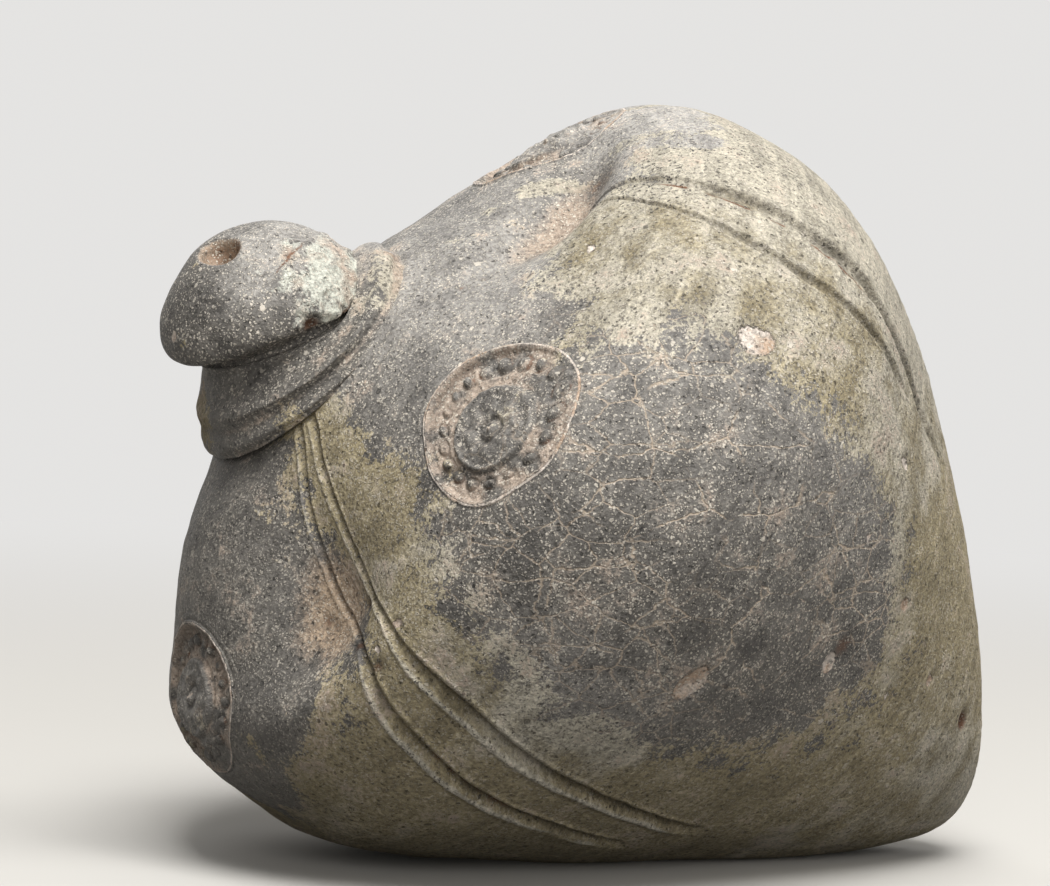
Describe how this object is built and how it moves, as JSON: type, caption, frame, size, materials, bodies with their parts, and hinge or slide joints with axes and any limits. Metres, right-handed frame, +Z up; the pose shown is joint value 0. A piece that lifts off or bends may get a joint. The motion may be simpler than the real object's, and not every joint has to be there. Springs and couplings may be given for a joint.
{
  "type": "spheroconical vessel",
  "caption": "Thick-walled fired-clay flask with a conical base, lobed shoulder, stamped roundels, ridged neck collar and domed mouth with a narrow hole, lying on its flank.",
  "frame": {"origin": "on the small rest flat under the conical flank, where the flask touches the surface it lies on", "axes": "+Z up; the flask's axis lies in the XZ plane with the mouth toward -X and raised, the nose toward +X; -Y is the side seen in the picture"},
  "size_m": [0.105, 0.098, 0.0889],
  "materials": {
    "body_clay": "matte fired clay, worn and soil stained",
    "neck_clay": "matte fired clay, worn along the ridges",
    "stamped_clay": "matte fired clay, soil in the hollows"
  },
  "bodies": {
    "root": {"lower_body": "body_clay", "shoulder": "body_clay", "neck_collar": "neck_clay", "mouth_knob": "neck_clay", "roundel_top": "stamped_clay", "roundel_back": "stamped_clay", "roundel_under": "stamped_clay", "roundel_front": "stamped_clay"}
  },
  "joints": []
}
